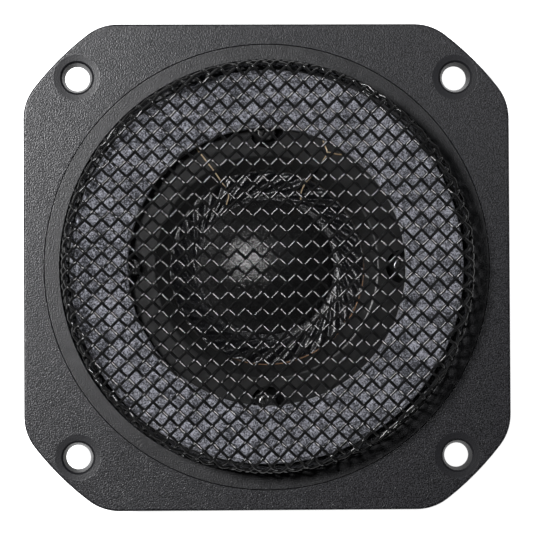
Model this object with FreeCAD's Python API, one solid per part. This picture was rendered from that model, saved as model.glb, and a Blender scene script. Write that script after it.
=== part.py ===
"""Square-flange soft-dome tweeter with a woven wire guard, as separate pieces.

Frame: the origin is the centre of the flange's rear face, +Z points to the listener,
+X to the right and +Y up when the tweeter is seen from the front. Millimetres.
"""
import FreeCAD, Part
import math
import os

from FreeCAD import Vector

# Front plate
PLATE_SIDE = 105.3
PLATE_T = 4.0
PLATE_CORNER_CIRCLE_R = 63.6
PLATE_CORNER_R = 11.0
PLATE_EDGE_R = 0.5
SPIGOT_R = 43.5
SPIGOT_T = 3.0
HOLE_SPACING = 82.0
HOLE_R = 2.65
HOLE_STRAIGHT_T = 1.2
HOLE_THROAT_R = 3.25
HOLE_MOUTH_R = 3.7
HOLE_DISH_R = 4.75
HOLE_DISH_T = 0.06

# Grille ring and woven guard
RING_SEAT_R = 48.3
RING_R = 48.15
RING_BORE_R = 44.9
RING_T = 1.3
RING_LIP_T = 0.55
RING_EDGE_R = 0.15
RING_SLIT_EDGE_R = 0.05
GUARD_R = 44.5
GUARD_T = 1.2
GUARD_TOP_Z = 13.0
GUARD_BEND_R = 2.3
GUARD_BRIM_R = 47.5
GUARD_SEAT_Z = 1.5

# Recess floor, felt and diaphragm opening
FLOOR_Z = 1.0
FLOOR_R = 43.2
OPENING_R = 24.2
OPENING_EDGE_R = 1.0
BEVEL_R = 21.3
BEVEL_LAND = 0.25
WEB_Z = -0.95
FELT_BORE_R = 30.1
FELT_R = 42.7
FELT_T = 3.0
FELT_EDGE_R = 0.3
CARRIER_POCKET_R = 25.6

# Diaphragm carrier, surround and dome
CARRIER_R = 25.5
CARRIER_BORE_R = 21.3
CARRIER_LEAD_IN = 0.4
SHEET_T = 0.3
RIM_R = 25.3
ROLL_OUTER_R = 21.1
ROLL_INNER_R = 15.2
ROLL_DROP = 0.75
JOINT_BORE_R = 14.2
GLUE_T = 0.22
DOME_R = 14.7
DOME_SPHERE_R = 18.0

# Voice coil
FORMER_R = 14.6
FORMER_T = 0.2
FORMER_BOTTOM_Z = -6.8
WINDING_R = 15.05
WINDING_Z = -6.4
WINDING_H = 2.8

# Motor
MOTOR_Z = -3.0
TOP_PLATE_T = 4.0
TOP_PLATE_R = 35.0
GAP_R = 15.45
MAGNET_T = 12.0
MAGNET_R = 36.0
MAGNET_BORE_R = 17.5
BACK_PLATE_T = 4.0
BACK_PLATE_R = 35.0
STAKE_R = 6.0
STAKE_DIMPLE_R = 2.0
STAKE_DIMPLE_T = 0.8
CAP_R = 14.1
CAP_T = 0.25
CAP_SKIRT = 5.5
PAD_R = 10.0
PAD_T = 2.0
PAD_EDGE_R = 0.4
METAL_EDGE_R = 0.6

# Front plate screws
SCREW_PCD = 59.2
SCREW_SEAT_Z = -0.8
SCREW_RECESS_R = 3.7
SCREW_HEAD_R = 2.2
SCREW_HEAD_H = 1.5
SCREW_R = 1.23
SCREW_TIP_Z = -6.6
SCREW_HOLE_R = 1.45
SCREW_THREAD_R = 1.25
SLOT_W = 0.7
SLOT_T = 0.7

# Lead-out wires, their rivets and the rear tags
LEAD_D = 0.3
LEAD_LOW_Z = 1.17
CHANNEL_W = 2.6
CHANNEL_H = 0.45
RIVET_CIRCLE_R = 38.7
RIVET_ANGLES = {"left": 120.7, "right": 66.3}
RIVET_SEAT_Z = 0.45
RIVET_SEAT_R = 2.0
RIVET_HEAD_R = 1.6
RIVET_HEAD_H = 0.5
RIVET_R = 1.0
RIVET_HOLE_R = 1.05
RIVET_TAIL_R = 1.5
RIVET_TAIL_H = 0.5
TAG_T = 0.8
TAG_W = 2.8
TAG_DROP = 13.0
TAG_FOOT_IN = 1.9
TAG_FOOT_OUT = 3.2
TAG_HOLE_R = 0.7

# Routes of the lead-out wires, from the dome's edge to the rivet head
LEFT_ROUTE = [
    (-8.9, 13.2, -1.4), (-8.5, 14.3, -0.9), (-8.1, 15.7, -0.3), (-8.9, 17.3, 0.2),
    (-9.9, 18.7, 0.7), (-11.4, 20.9, 1.2), (-12.7, 22.5, 1.5), (-14.1, 24.4, 1.4),
    (-15.4, 26.0, LEAD_LOW_Z), (-17.0, 28.6, LEAD_LOW_Z), (-18.6, 31.4, LEAD_LOW_Z),
]
RIGHT_ROUTE = [
    (7.6, 14.0, -1.4), (7.5, 15.2, -0.9), (7.6, 16.6, -0.3), (8.5, 18.3, 0.3),
    (9.7, 19.7, 0.8), (11.0, 21.4, 1.3), (12.2, 22.9, 1.6), (13.4, 24.8, 1.7),
    (12.7, 26.4, 1.3), (12.2, 27.9, LEAD_LOW_Z), (13.1, 30.0, LEAD_LOW_Z),
    (14.4, 32.9, LEAD_LOW_Z),
]

SAME_POINT = 1e-6
FRONT_Z = PLATE_T
GUARD_IN_R = GUARD_R - GUARD_T
FELT_TOP_Z = FLOOR_Z + FELT_T
RIM_Z = WEB_Z - SHEET_T
JOINT_Z = RIM_Z - ROLL_DROP
TOP_PLATE_Z = MOTOR_Z - TOP_PLATE_T
MAGNET_Z = TOP_PLATE_Z - MAGNET_T
BACK_Z = MAGNET_Z - BACK_PLATE_T
POLE_R = CAP_R - CAP_T
POLE_TOP_Z = MOTOR_Z - CAP_T


def polar(r, degrees, z=0.0):
    a = math.radians(degrees)
    return Vector(r * math.cos(a), r * math.sin(a), z)


def turned(outline):
    """A solid turned about Z from a closed outline of (r, z) points.

    A point given as (r, z, mid_r, mid_z) is reached by an arc through the middle point.
    """
    edges = []
    here = Vector(outline[0][0], 0, outline[0][1])
    for corner in list(outline[1:]) + [outline[0][:2]]:
        there = Vector(corner[0], 0, corner[1])
        if len(corner) == 4:
            middle = Vector(corner[2], 0, corner[3])
            edges.append(Part.Arc(here, middle, there).toShape())
        elif (there - here).Length > SAME_POINT:
            edges.append(Part.LineSegment(here, there).toShape())
        here = there
    face = Part.Face(Part.Wire(edges))
    return face.revolve(Vector(0, 0, 0), Vector(0, 0, 1), 360)


def quarter(r_centre, z_centre, radius, degrees):
    """The point of a round corner's arc at an angle, as (r, z)."""
    a = math.radians(degrees)
    return r_centre + radius * math.cos(a), z_centre + radius * math.sin(a)


def disc(radius, z_low, z_high, bore=0.0):
    outline = [(bore, z_low), (radius, z_low), (radius, z_high), (bore, z_high)]
    return turned(outline)


def post(place, radius, z_low, z_high):
    return Part.makeCylinder(radius, z_high - z_low, Vector(place.x, place.y, z_low))


def ring_edges(solid, radius, z):
    """The circular edges of a solid that have this radius and height."""
    found = []
    for edge in solid.Edges:
        curve = edge.Curve
        if isinstance(curve, Part.Circle) and abs(curve.Radius - radius) < 1e-4:
            if abs(curve.Center.z - z) < 1e-4:
                found.append(edge)
    return found


def rounded(solid, radius, circles):
    edges = []
    for r, z in circles:
        edges.extend(ring_edges(solid, r, z))
    return solid.makeFillet(radius, edges)


def hole_places():
    half = HOLE_SPACING / 2
    return [Vector(x, y, 0) for x in (-half, half) for y in (-half, half)]


def screw_places():
    return [polar(SCREW_PCD / 2, 90 * i) for i in range(4)]


# The front plate: flange, spigot, grille seat, recess floor and its small details

def plate_blank():
    """A square whose corners are cut to a circle about the centre, with soft upright edges."""
    half = PLATE_SIDE / 2
    square = Part.makeBox(PLATE_SIDE, PLATE_SIDE, PLATE_T, Vector(-half, -half, 0))
    blank = square.common(Part.makeCylinder(PLATE_CORNER_CIRCLE_R, PLATE_T))
    upright = [e for e in blank.Edges if abs(e.Vertexes[0].Z - e.Vertexes[1].Z) > 1]
    blank = blank.makeFillet(PLATE_CORNER_R, upright)
    rim = [e for e in blank.Edges if min(v.Z for v in e.Vertexes) > PLATE_T - 1e-4]
    return blank.makeFillet(PLATE_EDGE_R, rim)


def mounting_hole_cutter():
    mouth_z = FRONT_Z - HOLE_DISH_T
    throat_z = mouth_z - (HOLE_MOUTH_R - HOLE_THROAT_R)
    return turned([
        (0, -1), (HOLE_R, -1), (HOLE_R, HOLE_STRAIGHT_T), (HOLE_THROAT_R, throat_z),
        (HOLE_MOUTH_R, mouth_z), (HOLE_DISH_R, FRONT_Z), (HOLE_DISH_R, FRONT_Z + 1),
        (0, FRONT_Z + 1),
    ])


def rivet_cutter(degrees):
    place = polar(RIVET_CIRCLE_R, degrees)
    seat = post(place, RIVET_SEAT_R, RIVET_SEAT_Z, FLOOR_Z + 0.5)
    hole = post(place, RIVET_HOLE_R, MOTOR_Z - 1, FLOOR_Z)
    return seat.fuse(hole)


def front_plate():
    plate = plate_blank().fuse(disc(SPIGOT_R, -SPIGOT_T, 0.5))
    inside = turned([
        (0, -SPIGOT_T - 1), (CARRIER_POCKET_R, -SPIGOT_T - 1),
        (CARRIER_POCKET_R, WEB_Z), (BEVEL_R, WEB_Z), (BEVEL_R, WEB_Z + BEVEL_LAND),
        (OPENING_R, FLOOR_Z), (FLOOR_R, FLOOR_Z), (FLOOR_R, GUARD_SEAT_Z),
        (RING_SEAT_R, GUARD_SEAT_Z), (RING_SEAT_R, FRONT_Z + 1), (0, FRONT_Z + 1),
    ])
    plate = plate.cut(inside)
    plate = rounded(plate, OPENING_EDGE_R, [(OPENING_R, FLOOR_Z)])
    plate = rounded(plate, RING_SLIT_EDGE_R, [(RING_SEAT_R, FRONT_Z)])
    cutters = []
    for place in hole_places():
        cutter = mounting_hole_cutter()
        cutter.translate(place)
        cutters.append(cutter)
    for place in screw_places():
        cutters.append(post(place, SCREW_RECESS_R, SCREW_SEAT_Z, FLOOR_Z + 1))
        cutters.append(post(place, SCREW_HOLE_R, MOTOR_Z - 1, SCREW_SEAT_Z + 0.5))
    for degrees in RIVET_ANGLES.values():
        cutters.append(rivet_cutter(degrees))
    for cutter in cutters:
        plate = plate.cut(cutter)
    return plate


# The guard and the ring that clamps its brim

def grille_ring():
    under_z = FRONT_Z - RING_T
    ring = turned([
        (RING_BORE_R, under_z), (RING_R - RING_LIP_T, under_z),
        (RING_R - RING_LIP_T, GUARD_SEAT_Z), (RING_R, GUARD_SEAT_Z),
        (RING_R, FRONT_Z), (RING_BORE_R, FRONT_Z),
    ])
    ring = rounded(ring, RING_SLIT_EDGE_R, [(RING_R, FRONT_Z)])
    return rounded(ring, RING_EDGE_R, [(RING_BORE_R, FRONT_Z)])


def grille_mesh():
    """A hat-shaped closed shell as thick as the two wires that cross in the cloth."""
    brim_z = GUARD_SEAT_Z + GUARD_T
    in_r = GUARD_IN_R
    roof_z = GUARD_TOP_Z - GUARD_T
    out_c = (GUARD_R - GUARD_BEND_R, GUARD_TOP_Z - GUARD_BEND_R)
    bend_in = GUARD_BEND_R - GUARD_T
    return turned([
        (0, roof_z), (out_c[0], roof_z),
        (in_r, out_c[1], *quarter(*out_c, bend_in, 45)),
        (in_r, GUARD_SEAT_Z), (GUARD_BRIM_R, GUARD_SEAT_Z), (GUARD_BRIM_R, brim_z),
        (GUARD_R, brim_z), (GUARD_R, out_c[1]),
        (out_c[0], GUARD_TOP_Z, *quarter(*out_c, GUARD_BEND_R, 45)),
        (0, GUARD_TOP_Z),
    ])


def lead_channel_cutter(degrees):
    """The space that a lead-out wire and its rivet take up under the felt."""
    start = FELT_BORE_R - 1
    length = RIVET_CIRCLE_R + RIVET_SEAT_R - start
    channel = Part.makeBox(length, CHANNEL_W, 1 + CHANNEL_H, Vector(start, -CHANNEL_W / 2, FLOOR_Z - 1))
    channel.rotate(Vector(0, 0, 0), Vector(0, 0, 1), degrees)
    return channel


def felt_ring():
    felt = disc(FELT_R, FLOOR_Z, FELT_TOP_Z, FELT_BORE_R)
    felt = rounded(felt, FELT_EDGE_R, [(FELT_R, FELT_TOP_Z), (FELT_BORE_R, FELT_TOP_Z)])
    for degrees in RIVET_ANGLES.values():
        felt = felt.cut(lead_channel_cutter(degrees))
    return felt


# The moving assembly and its carrier

def diaphragm_carrier():
    ring = disc(CARRIER_R, MOTOR_Z, RIM_Z, CARRIER_BORE_R)
    ends = [(CARRIER_R, MOTOR_Z), (CARRIER_R, RIM_Z)]
    return ring.makeChamfer(CARRIER_LEAD_IN, [e for r, z in ends for e in ring_edges(ring, r, z)])


def surround():
    return turned([
        (RIM_R, RIM_Z), (RIM_R, WEB_Z), (ROLL_OUTER_R, WEB_Z), (ROLL_INNER_R, JOINT_Z + SHEET_T),
        (JOINT_BORE_R, JOINT_Z + SHEET_T), (JOINT_BORE_R, JOINT_Z), (ROLL_INNER_R, JOINT_Z),
        (ROLL_OUTER_R, RIM_Z),
    ])


def glue_bead():
    """The adhesive squeezed out where the surround meets the front plate."""
    return turned([(ROLL_OUTER_R, WEB_Z), (BEVEL_R, WEB_Z), (BEVEL_R, WEB_Z + GLUE_T)])


def dome():
    base_z = JOINT_Z + SHEET_T
    centre_z = base_z - math.sqrt(DOME_SPHERE_R**2 - DOME_R**2)
    inner_r = DOME_SPHERE_R - SHEET_T
    outer = Part.makeSphere(DOME_SPHERE_R, Vector(0, 0, centre_z))
    inner = Part.makeSphere(inner_r, Vector(0, 0, centre_z))
    above = Part.makeCylinder(DOME_R + 5, DOME_SPHERE_R, Vector(0, 0, base_z))
    return outer.cut(inner).common(above)


def coil_former():
    return disc(FORMER_R, FORMER_BOTTOM_Z, JOINT_Z, FORMER_R - FORMER_T)


def voice_coil():
    return disc(WINDING_R, WINDING_Z, WINDING_Z + WINDING_H, FORMER_R)


# The motor

def top_plate():
    plate = disc(TOP_PLATE_R, TOP_PLATE_Z, MOTOR_Z, GAP_R)
    for place in screw_places():
        plate = plate.cut(post(place, SCREW_THREAD_R, TOP_PLATE_Z - 1, MOTOR_Z + 1))
    return rounded(plate, METAL_EDGE_R, [(TOP_PLATE_R, TOP_PLATE_Z), (TOP_PLATE_R, MOTOR_Z)])


def magnet():
    ring = disc(MAGNET_R, MAGNET_Z, TOP_PLATE_Z, MAGNET_BORE_R)
    ends = [(MAGNET_R, MAGNET_Z), (MAGNET_R, TOP_PLATE_Z)]
    return ring.makeChamfer(METAL_EDGE_R, [e for r, z in ends for e in ring_edges(ring, r, z)])


def back_plate():
    plate = disc(BACK_PLATE_R, BACK_Z, MAGNET_Z, STAKE_R)
    return rounded(plate, METAL_EDGE_R, [(BACK_PLATE_R, BACK_Z), (BACK_PLATE_R, MAGNET_Z)])


def pole_piece():
    return turned([
        (0, BACK_Z + STAKE_DIMPLE_T), (STAKE_DIMPLE_R, BACK_Z + STAKE_DIMPLE_T),
        (STAKE_DIMPLE_R, BACK_Z), (STAKE_R, BACK_Z), (STAKE_R, MAGNET_Z), (POLE_R, MAGNET_Z),
        (POLE_R, POLE_TOP_Z), (0, POLE_TOP_Z),
    ])


def pole_cap():
    skirt_z = MOTOR_Z - CAP_SKIRT
    return turned([
        (POLE_R, skirt_z), (CAP_R, skirt_z), (CAP_R, MOTOR_Z), (0, MOTOR_Z),
        (0, POLE_TOP_Z), (POLE_R, POLE_TOP_Z),
    ])


def pole_pad():
    pad = disc(PAD_R, MOTOR_Z, MOTOR_Z + PAD_T)
    return rounded(pad, PAD_EDGE_R, [(PAD_R, MOTOR_Z + PAD_T)])


# Fasteners and terminals

def plate_screw(place):
    head_top = SCREW_SEAT_Z + SCREW_HEAD_H
    crown = turned([
        (0, SCREW_SEAT_Z), (SCREW_HEAD_R, SCREW_SEAT_Z), (SCREW_HEAD_R, head_top - 0.5),
        (SCREW_HEAD_R - 0.6, head_top, SCREW_HEAD_R - 0.17, head_top - 0.14), (0, head_top),
    ])
    screw = crown.fuse(post(Vector(0, 0, 0), SCREW_R, SCREW_TIP_Z, SCREW_SEAT_Z + 0.1))
    for size_x, size_y in ((2 * SCREW_HEAD_R - 1.6, SLOT_W), (SLOT_W, 2 * SCREW_HEAD_R - 1.6)):
        slot = Part.makeBox(size_x, size_y, 2, Vector(-size_x / 2, -size_y / 2, head_top - SLOT_T))
        screw = screw.cut(slot)
    screw.rotate(Vector(0, 0, 0), Vector(0, 0, 1), 7 * place.x + 11 * place.y)
    screw.translate(place)
    return screw


def plate_screws():
    return Part.makeCompound([plate_screw(place) for place in screw_places()])


def terminal_rivet(degrees):
    place = polar(RIVET_CIRCLE_R, degrees)
    tag_under_z = MOTOR_Z - TAG_T
    head = post(place, RIVET_HEAD_R, RIVET_SEAT_Z, RIVET_SEAT_Z + RIVET_HEAD_H)
    shank = post(place, RIVET_R, tag_under_z - 0.1, RIVET_SEAT_Z + 0.1)
    tail = post(place, RIVET_TAIL_R, tag_under_z - RIVET_TAIL_H, tag_under_z)
    return head.fuse(shank).fuse(tail)


def terminal_tag(degrees):
    """An L of tinned brass: a foot under the flange and a blade that drops beside the magnet."""
    foot_low = MOTOR_Z - TAG_T
    inner = RIVET_CIRCLE_R - TAG_FOOT_IN
    outer = RIVET_CIRCLE_R + TAG_FOOT_OUT
    outline = [
        Vector(inner, 0, MOTOR_Z), Vector(outer, 0, MOTOR_Z), Vector(outer, 0, MOTOR_Z - TAG_DROP),
        Vector(outer - TAG_T, 0, MOTOR_Z - TAG_DROP), Vector(outer - TAG_T, 0, foot_low),
        Vector(inner, 0, foot_low),
    ]
    side = Part.Face(Part.makePolygon(outline + outline[:1]))
    side.translate(Vector(0, -TAG_W / 2, 0))
    tag = side.extrude(Vector(0, TAG_W, 0))
    bend = [e for e in tag.Edges if abs(e.CenterOfMass.x - outer) < 1e-4
            and abs(e.CenterOfMass.z - MOTOR_Z) < 1e-4]
    tag = tag.makeFillet(TAG_T * 0.9, bend)
    tip_z = MOTOR_Z - TAG_DROP
    corners = [e for e in tag.Edges if abs(e.CenterOfMass.z - tip_z) < 1e-4
               and abs(abs(e.CenterOfMass.y) - TAG_W / 2) < 1e-4]
    tag = tag.makeChamfer(0.5, corners)
    rivet_hole = Part.makeCylinder(RIVET_R, 3, Vector(RIVET_CIRCLE_R, 0, MOTOR_Z - 2))
    solder_hole = Part.makeCylinder(TAG_HOLE_R, 3, Vector(outer - 2, 0, tip_z + 2.2), Vector(1, 0, 0))
    tag = tag.cut(rivet_hole).cut(solder_hole)
    tag.rotate(Vector(0, 0, 0), Vector(0, 0, 1), degrees)
    return tag


def smooth_path(points):
    """Straight runs joined by tangent arcs, each as large as its two runs allow."""
    edges = []
    radii = []
    here = points[0]
    for before, corner, after in zip(points, points[1:], points[2:]):
        to_back = (before - corner).normalize()
        to_front = (after - corner).normalize()
        reach = 0.45 * min((before - corner).Length, (after - corner).Length)
        half_turn = (math.pi - to_back.getAngle(to_front)) / 2
        start = corner + to_back * reach
        stop = corner + to_front * reach
        radius = reach / math.tan(half_turn)
        bisector = (to_back + to_front).normalize()
        depth = radius / math.cos(half_turn) - radius
        edges.append(Part.LineSegment(here, start).toShape())
        edges.append(Part.Arc(start, corner + bisector * depth, stop).toShape())
        radii.append(radius)
        here = stop
    edges.append(Part.LineSegment(here, points[-1]).toShape())
    return Part.Wire(edges), min(radii)


def lead_wire(side, route):
    end = polar(RIVET_CIRCLE_R, RIVET_ANGLES[side], LEAD_LOW_Z)
    points = [Vector(*p) for p in route] + [end]
    path, least = smooth_path(points)
    section = Part.Wire(Part.makeCircle(LEAD_D / 2, points[0], points[1] - points[0]))
    tube = path.makePipeShell([section], True, False)
    expected = path.Length * math.pi * LEAD_D**2 / 4
    print(f"lead {side}: length {path.Length:.1f}, least radius {least:.2f}, "
          f"volume {tube.Volume:.3f} of {expected:.3f}")
    return tube


def build():
    shapes = {
        "front_plate": front_plate(),
        "grille_ring": grille_ring(),
        "grille_mesh": grille_mesh(),
        "felt_ring": felt_ring(),
        "diaphragm_carrier": diaphragm_carrier(),
        "surround": surround(),
        "glue_bead": glue_bead(),
        "dome": dome(),
        "coil_former": coil_former(),
        "voice_coil": voice_coil(),
        "lead_wire_left": lead_wire("left", LEFT_ROUTE),
        "lead_wire_right": lead_wire("right", RIGHT_ROUTE),
        "top_plate": top_plate(),
        "magnet": magnet(),
        "back_plate": back_plate(),
        "pole_piece": pole_piece(),
        "pole_cap": pole_cap(),
        "pole_pad": pole_pad(),
        "plate_screws": plate_screws(),
    }
    for side, degrees in RIVET_ANGLES.items():
        shapes[f"terminal_rivet_{side}"] = terminal_rivet(degrees)
        shapes[f"terminal_tag_{side}"] = terminal_tag(degrees)
    return shapes


def main():
    os.makedirs("parts", exist_ok=True)
    for name, shape in build().items():
        solids = len(shape.Solids)
        print(f"{name}: solids {solids}, valid {shape.isValid()}, volume {shape.Volume:.1f}")
        shape.exportStep(f"parts/{name}.step")


main()
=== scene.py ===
"""Looks of the dome tweeter: woven wire guard, felt, ribbed surround, cloth dome and finishes.

Metres, in the CAD frame: +Z towards the listener, the flange's rear face at z = 0.
"""

import math

import bpy
import numpy as np
from mathutils import Matrix, Vector


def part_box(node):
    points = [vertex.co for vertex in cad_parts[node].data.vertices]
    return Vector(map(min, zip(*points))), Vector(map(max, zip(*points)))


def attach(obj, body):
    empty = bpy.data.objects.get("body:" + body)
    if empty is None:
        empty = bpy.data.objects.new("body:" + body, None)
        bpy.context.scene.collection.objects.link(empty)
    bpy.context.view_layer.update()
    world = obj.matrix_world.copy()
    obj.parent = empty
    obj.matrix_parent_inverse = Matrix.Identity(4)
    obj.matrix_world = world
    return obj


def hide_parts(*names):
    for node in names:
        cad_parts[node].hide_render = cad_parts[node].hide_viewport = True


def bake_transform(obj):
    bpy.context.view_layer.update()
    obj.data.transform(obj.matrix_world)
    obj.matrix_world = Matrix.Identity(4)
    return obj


MM = 0.001
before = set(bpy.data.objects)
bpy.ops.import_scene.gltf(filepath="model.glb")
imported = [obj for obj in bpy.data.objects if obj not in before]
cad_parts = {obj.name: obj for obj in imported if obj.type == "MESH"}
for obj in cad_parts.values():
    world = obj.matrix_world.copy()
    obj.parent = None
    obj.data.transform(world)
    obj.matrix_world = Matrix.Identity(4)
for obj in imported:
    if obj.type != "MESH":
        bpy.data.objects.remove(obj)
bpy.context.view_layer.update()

PLATE_LOW, PLATE_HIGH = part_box("front_plate")
GUARD_LOW, GUARD_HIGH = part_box("grille_mesh")
FELT_LOW, FELT_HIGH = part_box("felt_ring")
SURROUND_LOW, SURROUND_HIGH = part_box("surround")
DOME_LOW, DOME_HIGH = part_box("dome")

# The paper under the back plate: the gap between them, and how far the paper reaches each way
FLOOR_GAP = 0.1 * MM
FLOOR_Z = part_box("back_plate")[0].z - FLOOR_GAP
FLOOR_HALF = 2.0

# Woven guard: two families of wires, 10 to the inch, at about 45 degrees. The crimp is how far
# a wire swings from the cloth's middle; the two crimps add up to less than a wire's thickness,
# because the cloth is pressed and the wires bite into each other where they cross. The angles
# are in degrees, and offset is how far the nearest wire lies from the centre. A wire that
# would pass closer than GRAZING to the cloth's edge is left out.
WIRE_R = 0.325 * MM
CRIMP_MOST = 0.315 * MM
BRIM_SQUASH = 0.7
CRIMP_SHARPNESS = 0.95
GUARD_BEND = 1.7 * MM
BRIM_BEND = 0.9 * MM
GUARD_WALL_R = 43.9 * MM
BRIM_END_R = 46.9 * MM
RISING = {"angle": 45.19, "pitch": 2.510 * MM, "offset": 0.29 * MM, "crimp": 0.165 * MM}
FALLING = {"angle": -44.21, "pitch": 2.549 * MM, "offset": 0.24 * MM, "crimp": CRIMP_MOST}
GRAZING = 0.4 * MM
WIRE_SIDES = 8
STEPS_PER_PITCH = 5

# Flange details that its finish follows
HOLE_PLACE = 41.0 * MM
HOLE_MOUTH = 3.7 * MM
HOLE_DISH = 4.75 * MM
BEVEL_TOP = 24.2 * MM
PIT_TOP = 0.95 * MM

# Felt
FELT_BORE = 30.1 * MM
FELT_CROWN = 0.35 * MM
FIBRES = 3600

# Glue bead: its radius, and the direction from the centre of its painted highlight; the bead is painted
# brown on that side, the lower right, as if lit there
GLUE_R = 21.2 * MM
LIT_SIDE = (0.57, -0.82)

# Surround: straight ribs tangent to a circle at the dome's edge
SURROUND_BORE = 14.2 * MM
SURROUND_RIM = 25.2 * MM
RIBS = 30
RIB_CIRCLE = 15.16 * MM
RIB_PHASE = math.radians(1.9)
RIB_HEIGHT = 0.42 * MM
RIB_ROUND = 0.02
ROLL_OUTER = 21.1 * MM
ROLL_INNER = 15.2 * MM
SHEET_T = 0.3 * MM

# Dome
CLOTH_PITCH = 0.34 * MM
DOME_EDGE = 14.7 * MM
DOME_SPHERE = 18.0 * MM

# Lead-out wires, as in the CAD model
LEAD_R = 0.15 * MM
LEAD_SIDES = 10
ROUTE_STEPS = 8
LEFT_ROUTE = [
    (-8.9, 13.2, -1.4), (-8.5, 14.3, -0.9), (-8.1, 15.7, -0.3), (-8.9, 17.3, 0.2),
    (-9.9, 18.7, 0.7), (-11.4, 20.9, 1.2), (-12.7, 22.5, 1.5), (-14.1, 24.4, 1.4),
    (-15.4, 26.0, 1.17), (-17.0, 28.6, 1.17), (-18.6, 31.4, 1.17), (-19.76, 33.28, 1.17),
]
RIGHT_ROUTE = [
    (7.6, 14.0, -1.4), (7.5, 15.2, -0.9), (7.6, 16.6, -0.3), (8.5, 18.3, 0.3),
    (9.7, 19.7, 0.8), (11.0, 21.4, 1.3), (12.2, 22.9, 1.6), (13.4, 24.8, 1.7),
    (12.7, 26.4, 1.3), (12.2, 27.9, 1.17), (13.1, 30.0, 1.17), (14.4, 32.9, 1.17),
    (15.56, 35.43, 1.17),
]
TAIL_ROUTE = [(13.3, 24.9, 1.75), (14.4, 24.75, 1.9), (15.4, 24.35, 1.7), (17.2, 24.4, 1.3)]

# Camera: it looks at a point of the flange's front face, with its roll in degrees
CAMERA_DISTANCE = 600 * MM
CAMERA_OFFSET = (-20 * MM, -13 * MM)
CAMERA_TARGET = (-0.21 * MM, 0.04 * MM)
CAMERA_ROLL = -0.28
VIEW_WIDTH = 115.29 * MM
SENSOR = 36.0

# Grain and thread sizes
FINE_GRAIN = 0.27 * MM
TURNING_PITCH = 0.35 * MM
WINDING_PITCH = 0.16 * MM
WAVES_PER_SCALE = 20 / (2 * math.pi)


# Meshes

def new_mesh(name, points, faces, smooth=True):
    mesh = bpy.data.meshes.new(name)
    mesh.from_pydata([tuple(p) for p in points], [], faces)
    mesh.validate()
    mesh.polygons.foreach_set("use_smooth", [smooth] * len(mesh.polygons))
    mesh.update()
    piece = bpy.data.objects.new(name, mesh)
    bpy.context.scene.collection.objects.link(piece)
    return piece


def tube_parts(path, normals, radius, sides, first=0):
    """Points and faces of a capped tube along a path, given a normal at each point."""
    path = np.asarray(path, float)
    tangent = np.gradient(path, axis=0)
    tangent /= np.linalg.norm(tangent, axis=1, keepdims=True)
    normals = normals - tangent * np.sum(normals * tangent, axis=1, keepdims=True)
    normals /= np.linalg.norm(normals, axis=1, keepdims=True)
    across = np.cross(tangent, normals)
    turn = np.arange(sides) * 2 * math.pi / sides
    ring = normals[:, None] * np.cos(turn)[:, None] + across[:, None] * np.sin(turn)[:, None]
    points = (path[:, None] + radius * ring).reshape(-1, 3)
    faces = []
    count = len(path)
    for i in range(count - 1):
        for k in range(sides):
            a = first + i * sides + k
            b = first + i * sides + (k + 1) % sides
            faces.append((a, b, b + sides, a + sides))
    faces.append(tuple(first + k for k in reversed(range(sides))))
    faces.append(tuple(first + (count - 1) * sides + k for k in range(sides)))
    return points, faces


def polar_sheet(name, radii, angles, top, bottom):
    """A closed ring-shaped sheet: top and bottom give heights over (radius, angle) grids."""
    r, a = np.meshgrid(radii, angles, indexing="ij")
    x, y = r * np.cos(a), r * np.sin(a)
    upper = np.stack([x, y, top(r, a)], -1).reshape(-1, 3)
    lower = np.stack([x, y, bottom(r, a)], -1).reshape(-1, 3)
    rows, cols = r.shape
    under = rows * cols
    faces = []
    for i in range(rows - 1):
        for k in range(cols):
            j = (k + 1) % cols
            a0, a1, b0, b1 = i * cols + k, i * cols + j, (i + 1) * cols + k, (i + 1) * cols + j
            faces.append((a0, b0, b1, a1))
            faces.append((under + a0, under + a1, under + b1, under + b0))
    for k in range(cols):
        j = (k + 1) % cols
        last = (rows - 1) * cols
        faces.append((k, j, under + j, under + k))
        faces.append((last + j, last + k, under + last + k, under + last + j))
    return new_mesh(name, np.concatenate([upper, lower]), faces)


def spline_points(points):
    """A quadratic B-spline through the middle of each run, held at both ends."""
    p = np.asarray(points, float)
    middles = (p[:-1] + p[1:]) / 2
    out = [p[0]]
    for i in range(1, len(p) - 1):
        a, b, c = middles[i - 1], p[i], middles[i]
        if i == 1:
            a = p[0]
        if i == len(p) - 2:
            c = p[-1]
        for t in np.linspace(0, 1, ROUTE_STEPS + 1)[1:]:
            out.append((1 - t) ** 2 * a + 2 * t * (1 - t) * b + t * t * c)
    return np.array(out)


# The woven guard

def guard_surface(rho):
    """Radius, height and slope angle of the hat's middle surface at a flat radius."""
    top_z = GUARD_HIGH.z - WIRE_R - CRIMP_MOST
    brim_z = GUARD_LOW.z + WIRE_R + BRIM_SQUASH * CRIMP_MOST
    flat_r = GUARD_WALL_R - GUARD_BEND
    bend = GUARD_BEND * math.pi / 2
    wall = (top_z - GUARD_BEND) - (brim_z + BRIM_BEND)
    foot = BRIM_BEND * math.pi / 2
    s = rho - flat_r
    turn = np.clip(s / GUARD_BEND, 0, math.pi / 2)
    back = np.clip((s - bend - wall) / BRIM_BEND, 0, math.pi / 2)
    down = np.clip(s - bend, 0, wall)
    out = np.maximum(s - bend - wall - foot, 0)
    r = np.minimum(rho, flat_r) + GUARD_BEND * np.sin(turn) + BRIM_BEND * (1 - np.cos(back)) + out
    z = top_z - GUARD_BEND * (1 - np.cos(turn)) - down - BRIM_BEND * np.sin(back)
    return r, z, turn - back


def guard_flat_radius():
    """The flat radius that lands on the brim's edge once the cloth is formed."""
    flat_r = GUARD_WALL_R - GUARD_BEND
    rho = np.linspace(flat_r, 60 * MM, 2000)
    r = guard_surface(rho)[0]
    return float(rho[np.argmax(r > BRIM_END_R)])


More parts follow.
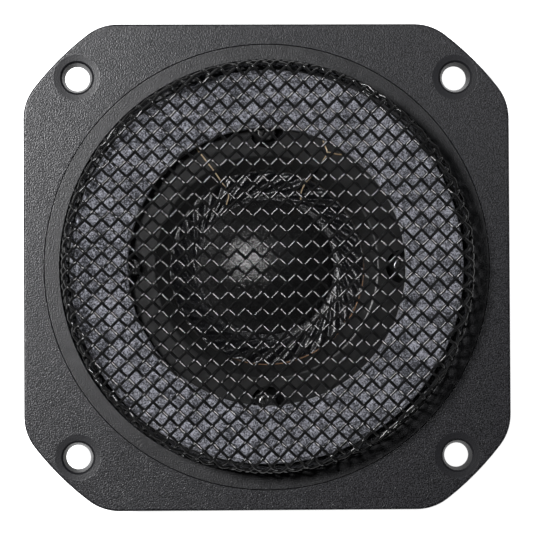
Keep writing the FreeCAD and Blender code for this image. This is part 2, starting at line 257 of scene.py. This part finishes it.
def crimp_wave(turns):
    """A rounded zigzag: +1 at even crossings and -1 at odd ones."""
    k = CRIMP_SHARPNESS
    return np.arcsin(k * np.cos(math.pi * turns)) / math.asin(k)


def weave(name, own, other, sign):
    """One family of wires, laid over the hat. Sign is 1 if it is on top at even crossings, else -1."""
    limit = guard_flat_radius()
    own_a, other_a = math.radians(own["angle"]), math.radians(other["angle"])
    along = np.array([math.cos(own_a), math.sin(own_a)])
    across = np.array([math.sin(own_a), -math.cos(own_a)])
    other_across = np.array([math.sin(other_a), -math.cos(other_a)])
    if other_across[0] < 0:
        other_across = -other_across
    if across[0] < 0:
        across = -across
    reach = int(limit / own["pitch"]) + 2
    points, faces, first = [], [], 0
    for index in range(-reach, reach + 1):
        d = own["offset"] + index * own["pitch"]
        if abs(d) > limit - GRAZING:
            continue
        half = math.sqrt(limit**2 - d**2)
        count = max(3, int(2 * half / own["pitch"] * STEPS_PER_PITCH))
        s = np.linspace(-half, half, count)
        flat = s[:, None] * along + d * across
        crossing = (flat @ other_across - other["offset"]) / other["pitch"]
        rho = np.linalg.norm(flat, axis=1)
        r, z, slope = guard_surface(rho)
        squash = np.interp(r, (GUARD_WALL_R, GUARD_WALL_R + BRIM_BEND), (1, BRIM_SQUASH))
        lift = sign * own["crimp"] * squash * crimp_wave(crossing + index)
        radial = flat / np.maximum(rho, 1e-9)[:, None]
        normal = np.concatenate([radial * np.sin(slope)[:, None], np.cos(slope)[:, None]], 1)
        place = np.concatenate([radial * r[:, None], z[:, None]], 1)
        p, f = tube_parts(place + normal * lift[:, None], normal, WIRE_R, WIRE_SIDES, first)
        points.append(p)
        faces.extend(f)
        first += len(p)
    return new_mesh(name, np.concatenate(points), faces)


def make_guard():
    rising = weave("guard_wires_rising", RISING, FALLING, -1)
    falling = weave("guard_wires_falling", FALLING, RISING, 1)
    return rising, falling


# Felt

def soft_noise(x, y, seed, size):
    """A cheap sum of sines that looks like smooth noise at about the given size."""
    rng = np.random.default_rng(seed)
    total = np.zeros_like(x)
    for _ in range(14):
        angle = rng.uniform(0, 2 * math.pi)
        wave = 2 * math.pi / (size * rng.uniform(0.7, 1.8))
        phase = rng.uniform(0, 2 * math.pi)
        total += np.sin(wave * (x * math.cos(angle) + y * math.sin(angle)) + phase)
    return total / 14


def make_felt():
    outer = FELT_HIGH.x
    low, high = FELT_LOW.z, FELT_HIGH.z
    edge = 0.8 * MM
    inner_rows = FELT_BORE + edge * (1 - np.cos(np.linspace(0, math.pi / 2, 8)))
    outer_rows = outer - edge * (1 - np.cos(np.linspace(math.pi / 2, 0, 8)))
    radii = np.concatenate([inner_rows, np.linspace(FELT_BORE, outer, 34)[2:-2], outer_rows])
    angles = np.linspace(0, 2 * math.pi, 540, endpoint=False)

    def top(r, a):
        x, y = r * np.cos(a), r * np.sin(a)
        from_edge = np.minimum(r - FELT_BORE, outer - r)
        drop = edge - np.sqrt(np.maximum(edge**2 - np.maximum(edge - from_edge, 0) ** 2, 0))
        bumps = 0.05 * soft_noise(x, y, 3, 1.1 * MM) + 0.06 * soft_noise(x, y, 4, 3.5 * MM)
        return high + FELT_CROWN - drop + bumps * MM * np.clip(from_edge / edge, 0, 1)

    def bottom(r, a):
        return np.full_like(r, low)

    return polar_sheet("felt_pad", radii, angles, top, bottom)


def make_fibres():
    """Loose fibres lying on the felt."""
    rng = np.random.default_rng(11)
    outer = FELT_HIGH.x
    steps = 5
    points, faces, first = [], [], 0
    for _ in range(FIBRES):
        r = math.sqrt(rng.uniform((FELT_BORE + 0.5 * MM) ** 2, (outer - 0.5 * MM) ** 2))
        a = rng.uniform(0, 2 * math.pi)
        heading = rng.uniform(0, 2 * math.pi)
        curl = rng.normal(0, 0.5)
        length = rng.uniform(0.6, 2.2) * MM
        spot = np.array([r * math.cos(a), r * math.sin(a)])
        path = []
        for i in range(steps):
            arch = 0.05 * MM * math.sin(math.pi * i / (steps - 1))
            path.append((*spot, FELT_HIGH.z + FELT_CROWN + arch))
            heading += curl + rng.normal(0, 0.25)
            spot = spot + length / steps * np.array([math.cos(heading), math.sin(heading)])
        path = np.array(path)
        far = np.linalg.norm(path[:, :2], axis=1)
        if far.max() > outer - 0.2 * MM or far.min() < FELT_BORE + 0.2 * MM:
            continue
        up = np.tile([0.0, 0.0, 1.0], (steps, 1))
        p, f = tube_parts(path, up, rng.uniform(0.012, 0.024) * MM, 3, first)
        points.append(p)
        faces.extend(f)
        first += len(p)
    return new_mesh("felt_fibres", np.concatenate(points), faces)


# Surround and dome

def smooth_step(x, low, high):
    t = np.clip((x - low) / (high - low), 0, 1)
    return t * t * (3 - 2 * t)


def rib_wave(r, a):
    lean = np.arccos(np.clip(RIB_CIRCLE / np.maximum(r, RIB_CIRCLE), -1, 1))
    wave = np.cos(RIBS * (a + lean + RIB_PHASE))
    return 2 * np.sqrt((1 + RIB_ROUND + wave) / (2 + RIB_ROUND)) - 1


def surround_height(r, a):
    outer_z = SURROUND_HIGH.z
    inner_z = SURROUND_LOW.z + SHEET_T
    fall = np.clip((ROLL_OUTER - r) / (ROLL_OUTER - ROLL_INNER), 0, 1)
    grow = smooth_step(r, ROLL_INNER + 0.1 * MM, ROLL_INNER + 2.0 * MM)
    fade = 1 - smooth_step(r, ROLL_OUTER - 0.7 * MM, ROLL_OUTER - 0.1 * MM)
    return outer_z + (inner_z - outer_z) * fall + RIB_HEIGHT * grow * fade * rib_wave(r, a)


def make_surround():
    roll_end = ROLL_OUTER + 0.1 * MM
    radii = np.concatenate([
        np.linspace(SURROUND_BORE, ROLL_INNER, 5)[:-1],
        np.linspace(ROLL_INNER, roll_end, 61),
        np.linspace(roll_end, SURROUND_RIM, 5)[1:],
    ])
    angles = np.linspace(0, 2 * math.pi, RIBS * 28, endpoint=False)

    def bottom(r, a):
        return surround_height(r, a) - SHEET_T

    return polar_sheet("surround_cloth", radii, angles, surround_height, bottom)


def make_dome():
    base_z = DOME_LOW.z
    centre_z = DOME_HIGH.z - DOME_SPHERE
    rim = DOME_EDGE - np.array([0.25, 0.12, 0]) * MM
    radii = np.concatenate([np.linspace(0.02 * MM, DOME_EDGE - 0.4 * MM, 60), rim])
    angles = np.linspace(0, 2 * math.pi, 240, endpoint=False)

    def top(r, a):
        return centre_z + np.sqrt(DOME_SPHERE**2 - r**2)

    def bottom(r, a):
        inner = DOME_SPHERE - SHEET_T
        under = centre_z + np.sqrt(np.maximum(inner**2 - r**2, 0))
        return np.minimum(np.maximum(under, base_z), top(r, a) - 0.001 * MM)

    return polar_sheet("dome_cap", radii, angles, top, bottom)


# Lead-out wires

def make_lead(name, routes):
    points, faces, first = [], [], 0
    for route in routes:
        path = spline_points(np.array(route) * MM)
        up = np.tile([0.0, 0.0, 1.0], (len(path), 1))
        p, f = tube_parts(path, up, LEAD_R, LEAD_SIDES, first)
        points.append(p)
        faces.extend(f)
        first += len(p)
    return new_mesh(name, np.concatenate(points), faces)


# Materials

def shader_of(material):
    return material.node_tree.nodes["Principled BSDF"]


def surface(name, colour, roughness, **sockets):
    """A material with its plain values set on its shader."""
    material = bpy.data.materials.new(name)
    material.use_nodes = True
    shader = shader_of(material)
    shader.inputs["Base Color"].default_value = (*colour, 1)
    shader.inputs["Roughness"].default_value = roughness
    for socket, value in sockets.items():
        shader.inputs[socket.replace("_", " ")].default_value = value
    return material


def add(material, kind, **values):
    node = material.node_tree.nodes.new(kind)
    for key, value in values.items():
        setattr(node, key, value)
    return node


def link(material, source, target):
    material.node_tree.links.new(source, target)


def position(material, stretch=(1, 1, 1)):
    where = add(material, "ShaderNodeTexCoord")
    scale = add(material, "ShaderNodeMapping")
    scale.inputs["Scale"].default_value = stretch
    link(material, where.outputs["Object"], scale.inputs["Vector"])
    return scale.outputs["Vector"]


def noise(material, size, detail=3.0, stretch=(1, 1, 1), lumps=0.5):
    """Noise whose features are about size metres across."""
    node = add(material, "ShaderNodeTexNoise")
    node.inputs["Scale"].default_value = 1 / size
    node.inputs["Detail"].default_value = detail
    node.inputs["Roughness"].default_value = lumps
    link(material, position(material, stretch), node.inputs["Vector"])
    return node.outputs["Fac"]


def remap(material, value, low, high, to_low, to_high):
    node = add(material, "ShaderNodeMapRange")
    for socket, number in zip(("From Min", "From Max", "To Min", "To Max"), (low, high, to_low, to_high)):
        node.inputs[socket].default_value = number
    link(material, value, node.inputs["Value"])
    return node.outputs["Result"]


def math_node(material, operation, *values):
    """A Math node on values that are numbers or sockets."""
    node = add(material, "ShaderNodeMath", operation=operation)
    for socket, value in zip(node.inputs, values):
        if isinstance(value, (int, float)):
            socket.default_value = value
        else:
            link(material, value, socket)
    return node.outputs["Value"]


def mixed(material, factor, a, b, kind="FLOAT"):
    """A blend of two values by a factor. A and B are numbers, colours or sockets."""
    mix = add(material, "ShaderNodeMix", data_type=kind)
    wanted = {"FLOAT": "VALUE", "RGBA": "RGBA"}[kind]
    sides = [socket for socket in mix.inputs if socket.name in ("A", "B") and socket.type == wanted]
    for socket, value in zip(sides, (a, b)):
        if isinstance(value, bpy.types.NodeSocket):
            link(material, value, socket)
        else:
            socket.default_value = (*value, 1) if kind == "RGBA" else value
    link(material, factor, mix.inputs["Factor"])
    return next(socket for socket in mix.outputs if socket.type == wanted)


def shade(material, value, dark, light, low, high):
    """A colour between two shades by a value, as a socket."""
    return mixed(material, remap(material, value, low, high, 0, 1), dark, light, "RGBA")


def tint(material, value, dark, light, low=0.3, high=0.7):
    """Colours the base between two shades by a value."""
    colour = shade(material, value, dark, light, low, high)
    link(material, colour, shader_of(material).inputs["Base Color"])


def dull(material, value, low, high):
    """Varies the roughness between two amounts by a value."""
    link(material, remap(material, value, 0.3, 0.7, low, high), shader_of(material).inputs["Roughness"])


def bump(material, value, depth):
    """Adds a bump, in metres of depth, on top of any bump that is there."""
    node = add(material, "ShaderNodeBump")
    node.inputs["Strength"].default_value = 1.0
    node.inputs["Distance"].default_value = depth
    link(material, value, node.inputs["Height"])
    normal = shader_of(material).inputs["Normal"]
    if normal.is_linked:
        link(material, normal.links[0].from_socket, node.inputs["Normal"])
    link(material, node.outputs["Normal"], normal)


def waves(material, pitch, distortion=0.0, detail_scale=1.0, **kind):
    """Regular waves whose crests are pitch metres apart."""
    node = add(material, "ShaderNodeTexWave", **kind)
    node.inputs["Scale"].default_value = 1 / (WAVES_PER_SCALE * pitch)
    node.inputs["Distortion"].default_value = distortion
    node.inputs["Detail Scale"].default_value = detail_scale
    link(material, position(material), node.inputs["Vector"])
    return node.outputs["Fac"]


def coordinates(material):
    split = add(material, "ShaderNodeSeparateXYZ")
    link(material, position(material), split.inputs["Vector"])
    return split.outputs["X"], split.outputs["Y"], split.outputs["Z"]


def distance(material, a, b):
    squares = [math_node(material, "MULTIPLY", side, side) for side in (a, b)]
    return math_node(material, "SQRT", math_node(material, "ADD", *squares))


def grained_plastic(name, dark, light, roughness, grain, depth, gloss=0.5):
    material = surface(name, light, roughness, Specular_IOR_Level=gloss)
    fine = noise(material, grain, 1.0)
    tint(material, fine, dark, light, 0.38, 0.62)
    dull(material, noise(material, 2.5 * MM, 2.0), roughness - 0.03, roughness + 0.04)
    bump(material, fine, depth)
    return material


def plate_finish():
    """Grained black plastic: smoother in the recess and its pits, plain and duller in the holes. The pits
    and the dishes round the holes are coloured darker as painted shade.
    """
    material = surface("plate_grain", (0.006, 0.006, 0.007), 0.36, Specular_IOR_Level=0.27)
    x, y, z = coordinates(material)
    radius = distance(material, x, y)
    aside = [math_node(material, "ABSOLUTE", side) for side in (x, y)]
    from_hole = distance(material, *(math_node(material, "SUBTRACT", side, HOLE_PLACE) for side in aside))
    recess = remap(material, radius, FELT_BORE, FELT_BORE + 1 * MM, 1, 0)
    bevel = remap(material, radius, BEVEL_TOP, BEVEL_TOP - 0.3 * MM, 0, 1)
    pit = math_node(material, "MULTIPLY", remap(material, z, PIT_TOP - 0.1 * MM, PIT_TOP, 1, 0),
                    remap(material, radius, BEVEL_TOP, BEVEL_TOP + 0.5 * MM, 0, 1))
    dish = remap(material, from_hole, HOLE_DISH, HOLE_DISH + 0.25 * MM, 1, 0)
    wall = remap(material, from_hole, HOLE_MOUTH - 0.05 * MM, HOLE_MOUTH + 0.1 * MM, 1, 0)
    fine = noise(material, FINE_GRAIN, 1.0)
    wide = noise(material, 2.5 * MM, 3.0)
    grain = shade(material, fine, (0.0003, 0.0003, 0.0004), (0.0165, 0.0165, 0.0185), 0.38, 0.62)
    inside = shade(material, wide, (0.001, 0.001, 0.001), (0.010, 0.010, 0.010), 0.3, 0.7)
    colour = mixed(material, recess, grain, inside, "RGBA")
    colour = mixed(material, bevel, colour, (0.009, 0.009, 0.009), "RGBA")
    # Painted shade: the pits below the recess floor, such as round the screws, are coloured nearly black
    colour = mixed(material, pit, colour, (0.001, 0.001, 0.001), "RGBA")
    # Painted shade: the shallow dishes round the mounting holes are coloured darker than the plate
    colour = mixed(material, dish, colour, (0.005, 0.005, 0.006), "RGBA")
    link(material, colour, shader_of(material).inputs["Base Color"])
    worn = remap(material, math_node(material, "ADD", x, y), 50 * MM, 85 * MM, 0, 0.08)
    rough = math_node(material, "ADD", remap(material, wide, 0.3, 0.7, 0.31, 0.35), worn)
    rough = mixed(material, recess, rough, 0.34)
    rough = mixed(material, bevel, rough, 0.22)
    rough = mixed(material, pit, rough, 0.2)
    rough = mixed(material, dish, rough, 0.38)
    rough = mixed(material, wall, rough, 0.5)
    link(material, rough, shader_of(material).inputs["Roughness"])
    smooth = math_node(material, "MAXIMUM", recess, dish)
    bump(material, math_node(material, "MULTIPLY", fine, mixed(material, smooth, 1.0, 0.4)), 0.07 * MM)
    return material


def ring_finish():
    return grained_plastic("ring_satin", (0.0012, 0.0012, 0.0013), (0.0115, 0.0115, 0.0125),
                           roughness=0.36, grain=FINE_GRAIN, depth=0.06 * MM, gloss=0.29)


def carrier_finish():
    return grained_plastic("carrier_grain", (0.006, 0.006, 0.007), (0.014, 0.014, 0.015),
                           roughness=0.5, grain=0.4 * MM, depth=0.02 * MM)


def glue_finish():
    """Amber glue with a painted highlight: brown towards the lower right, the side the light falls on,
    and dark elsewhere, with random patches.
    """
    material = surface("glue_amber", (0.25, 0.12, 0.05), 0.3)
    parts = [math_node(material, "MULTIPLY", side, reach / GLUE_R)
             for side, reach in zip(coordinates(material), LIT_SIDE)]
    towards_lit_side = math_node(material, "ADD", *parts)
    uneven = math_node(material, "MULTIPLY", noise(material, 2 * MM, 3.0), 0.7)
    lit_and_uneven = math_node(material, "ADD", towards_lit_side, uneven)
    # Painted highlight: the glue is coloured brown towards the lower right, where light falls on it, and
    # dark elsewhere
    tint(material, lit_and_uneven, (0.010, 0.008, 0.006), (0.15, 0.08, 0.04), 0.92, 1.12)
    bump(material, noise(material, 0.4 * MM), 0.03 * MM)
    return material


def wire_finish():
    """Glossy black enamel."""
    material = surface("guard_enamel", (0.005, 0.005, 0.005), 0.055, Specular_IOR_Level=0.19)
    tint(material, noise(material, 1.5 * MM), (0.0035, 0.0035, 0.0035), (0.0065, 0.0065, 0.0065))
    dull(material, noise(material, 0.8 * MM), 0.04, 0.07)
    bump(material, noise(material, 0.5 * MM, 2.0), 0.004 * MM)
    return material


def felt_finish(name, dark, light):
    """Pressed wool: a fine speckle over a faint wide mottle."""
    material = surface(name, light, 0.95, Specular_IOR_Level=0.2, Sheen_Weight=0.25, Sheen_Roughness=0.5)
    speckle = noise(material, 0.30 * MM, 3.0, lumps=0.6)
    wide = noise(material, 3 * MM, 2.0)
    mottle = math_node(material, "ADD", math_node(material, "MULTIPLY", speckle, 0.75),
                       math_node(material, "MULTIPLY", wide, 0.25))
    tint(material, mottle, dark, light, 0.45, 0.64)
    bump(material, speckle, 0.18 * MM)
    bump(material, noise(material, 0.7 * MM, 4.0, stretch=(1, 0.6, 1)), 0.15 * MM)
    return material


def cloth_finish(name, dark, light, roughness, gloss, sparkle_depth):
    """Doped woven cloth: a fine square weave under a soft coat."""
    material = surface(name, light, roughness, Specular_IOR_Level=gloss)
    tint(material, noise(material, 0.9 * MM, 3.0), dark, light)
    sparkle = noise(material, 0.17 * MM, 1.0)
    dull(material, sparkle, roughness - 0.06, roughness + 0.10)
    bump(material, sparkle, sparkle_depth)
    for direction in ("X", "Y"):
        threads = waves(material, CLOTH_PITCH, 0.6, 2.0, wave_type="BANDS", bands_direction=direction)
        bump(material, threads, 0.01 * MM)
    return material


def metal_finish(name, dark, light, roughness, turned=True):
    """Plated or bare metal, with fine rings about Z where it is turned."""
    material = surface(name, light, roughness, Metallic=1.0)
    tint(material, noise(material, 6 * MM, 4.0), dark, light)
    dull(material, noise(material, 1.5 * MM, 4.0), roughness - 0.08, roughness + 0.1)
    if turned:
        rings = waves(material, TURNING_PITCH, 0.8, wave_type="RINGS", rings_direction="Z")
        bump(material, rings, 0.004 * MM)
    bump(material, noise(material, 0.3 * MM), 0.006 * MM)
    return material


def ferrite_finish():
    material = surface("ferrite", (0.05, 0.05, 0.053), 0.55, Specular_IOR_Level=0.6)
    grain = noise(material, 0.35 * MM, 6.0, lumps=0.7)
    tint(material, grain, (0.035, 0.035, 0.038), (0.085, 0.085, 0.088))
    dull(material, grain, 0.42, 0.66)
    bump(material, noise(material, 0.5 * MM, 5.0, stretch=(1, 1, 0.2)), 0.04 * MM)
    return material


def lead_finish():
    material = surface("lead_metal", (0.40, 0.30, 0.19), 0.5, Metallic=0.25)
    tint(material, noise(material, 1.2 * MM), (0.26, 0.18, 0.10), (0.50, 0.40, 0.28))
    bump(material, noise(material, 0.2 * MM), 0.01 * MM)
    return material


def winding_finish():
    material = surface("winding_copper", (0.7, 0.32, 0.14), 0.3, Metallic=1.0)
    tint(material, noise(material, 1.0 * MM), (0.5, 0.2, 0.08), (0.8, 0.42, 0.2))
    bump(material, waves(material, WINDING_PITCH, wave_type="BANDS", bands_direction="Z"), 0.05 * MM)
    return material


def screw_finish():
    material = surface("screw_black", (0.005, 0.005, 0.005), 0.24, Specular_IOR_Level=1.0)
    tint(material, noise(material, 1.0 * MM), (0.003, 0.003, 0.003), (0.009, 0.009, 0.009))
    bump(material, noise(material, 0.25 * MM), 0.01 * MM)
    return material


# Stage

def make_stage():
    corners = [(x * FLOOR_HALF, y * FLOOR_HALF, FLOOR_Z) for x, y in ((-1, -1), (1, -1), (1, 1), (-1, 1))]
    floor = new_mesh("studio_floor", corners, [(0, 1, 2, 3)], smooth=False)
    paper = surface("studio_paper", (0.9, 0.9, 0.9), 0.9,
                    Emission_Color=(1, 1, 1, 1), Emission_Strength=1.0)
    floor.data.materials.append(paper)
    world = bpy.data.worlds.new("studio")
    world.use_nodes = True
    background = world.node_tree.nodes["Background"]
    background.inputs["Color"].default_value = (0.75, 0.78, 0.85, 1)
    background.inputs["Strength"].default_value = 0.01
    bpy.context.scene.world = world


def area_light(name, place, size, power, colour):
    """A square softbox aimed at the middle of the object."""
    lamp = bpy.data.lights.new(name, "AREA")
    lamp.shape = "SQUARE"
    lamp.size = size
    lamp.energy = power
    lamp.color = colour
    holder = bpy.data.objects.new(name, lamp)
    bpy.context.scene.collection.objects.link(holder)
    holder.location = place
    holder.rotation_euler = (-Vector(place)).to_track_quat("-Z", "Y").to_euler()


def make_lights():
    area_light("key_softbox", (-0.276, 0.132, 0.530), size=0.135, power=8.8, colour=(0.985, 0.985, 1.0))
    area_light("fill_softbox", (0.20, 0.26, 0.46), size=0.30, power=0.30, colour=(0.92, 0.95, 1.0))


def make_camera():
    view = bpy.data.cameras.new("front_view")
    place = Vector((*CAMERA_OFFSET, PLATE_HIGH.z + CAMERA_DISTANCE))
    sight = Vector((*CAMERA_TARGET, PLATE_HIGH.z)) - place
    view.sensor_width = SENSOR
    view.lens = SENSOR * sight.length / VIEW_WIDTH
    holder = bpy.data.objects.new("front_view", view)
    back = -sight.normalized()
    right = Vector((0, 1, 0)).cross(back).normalized()
    level = Matrix((right, back.cross(right), back)).transposed()
    holder.location = place
    holder.rotation_euler = (level @ Matrix.Rotation(math.radians(CAMERA_ROLL), 3, "Z")).to_euler()
    bpy.context.scene.collection.objects.link(holder)
    bpy.context.scene.camera = holder


# Putting the object together

def finish_node(name, material):
    """Gives a CAD node its material."""
    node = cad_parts[name]
    node.data.materials.clear()
    node.data.materials.append(material)


def dress(piece, material, slot, *nodes):
    """Gives a piece its material and hides the CAD nodes that it stands for. The slot is not used."""
    piece.data.materials.append(material)
    if nodes:
        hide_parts(*nodes)
    return piece


bpy.context.scene.view_settings.view_transform = "Standard"
make_camera()
make_stage()
make_lights()

steel = metal_finish("zinc_steel", (0.30, 0.295, 0.27), (0.46, 0.455, 0.42), 0.34)
finish_node("front_plate", plate_finish())
finish_node("grille_ring", ring_finish())
finish_node("diaphragm_carrier", carrier_finish())
finish_node("glue_bead", glue_finish())
finish_node("top_plate", steel)
finish_node("back_plate", steel)
finish_node("pole_piece", steel)
finish_node("pole_cap", metal_finish("cap_copper", (0.55, 0.24, 0.13), (0.8, 0.42, 0.27), 0.3))
finish_node("magnet", ferrite_finish())
finish_node("pole_pad", felt_finish("pad_felt", (0.45, 0.44, 0.40), (0.7, 0.68, 0.63)))
finish_node("coil_former", metal_finish("former_foil", (0.6, 0.6, 0.62), (0.78, 0.78, 0.8), 0.3))
finish_node("voice_coil", winding_finish())
finish_node("plate_screws", screw_finish())
brass = metal_finish("rivet_brass", (0.5, 0.36, 0.16), (0.78, 0.62, 0.34), 0.32, turned=False)
tin = metal_finish("tag_tin", (0.36, 0.355, 0.335), (0.54, 0.535, 0.51), 0.3, turned=False)
for side in ("left", "right"):
    finish_node(f"terminal_rivet_{side}", brass)
    finish_node(f"terminal_tag_{side}", tin)

enamel = wire_finish()
rising, falling = make_guard()
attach(dress(rising, enamel, "mesh_black", "grille_mesh"), "frame")
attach(dress(falling, enamel, "mesh_black", "grille_mesh"), "frame")

wool = felt_finish("felt_wool", (0.020, 0.021, 0.025), (0.43, 0.435, 0.49))
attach(dress(make_felt(), wool, "felt_grey", "felt_ring"), "frame")
fibre = felt_finish("felt_fibre", (0.14, 0.145, 0.16), (0.36, 0.37, 0.40))
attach(dress(make_fibres(), fibre, "felt_grey"), "frame")

doped = cloth_finish("surround_doped", (0.0015, 0.0015, 0.0018), (0.005, 0.005, 0.006),
                     roughness=0.25, gloss=0.5, sparkle_depth=0.035 * MM)
surround = dress(make_surround(), doped, "surround_cloth", "surround")
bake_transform(surround)

glossy = cloth_finish("dome_doped", (0.005, 0.005, 0.005), (0.011, 0.011, 0.011),
                      roughness=0.19, gloss=0.55, sparkle_depth=0.06 * MM)
dome = dress(make_dome(), glossy, "dome_cloth", "dome")
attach(dome, "diaphragm")

gold = lead_finish()
left = dress(make_lead("lead_left", [LEFT_ROUTE]), gold, "lead_gold", "lead_wire_left")
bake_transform(left)
right = dress(make_lead("lead_right", [RIGHT_ROUTE, TAIL_ROUTE]), gold, "lead_gold", "lead_wire_right")
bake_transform(right)
